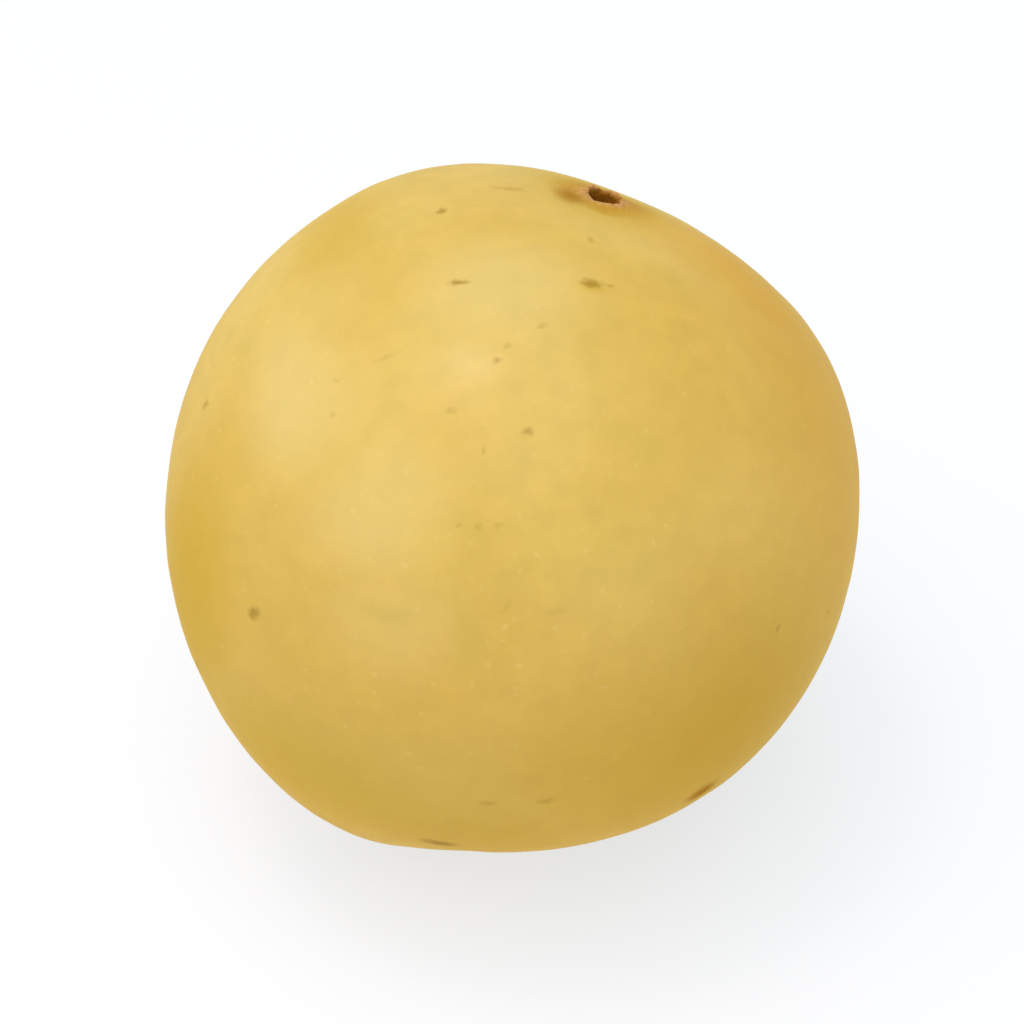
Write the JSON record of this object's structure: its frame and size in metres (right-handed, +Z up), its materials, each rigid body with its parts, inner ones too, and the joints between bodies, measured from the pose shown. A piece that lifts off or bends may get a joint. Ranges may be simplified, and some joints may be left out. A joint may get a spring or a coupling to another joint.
{
  "type": "passion fruit",
  "caption": "Whole ripe yellow passion fruit: a nearly round, waxy fruit with a small stem scar, lying on a small flat spot.",
  "frame": {"origin": "the middle of the small flat spot that the fruit rests on, at the height of the surface under it", "axes": "+Z straight up from the flat spot; -Y towards the viewer; the stem scar leans towards +Y and +X, and the blossom end points down towards -X and -Y"},
  "size_m": [0.07, 0.07, 0.0694],
  "materials": {
    "rind": "satin"
  },
  "bodies": {
    "root": {"passion_fruit": "rind"}
  },
  "joints": []
}
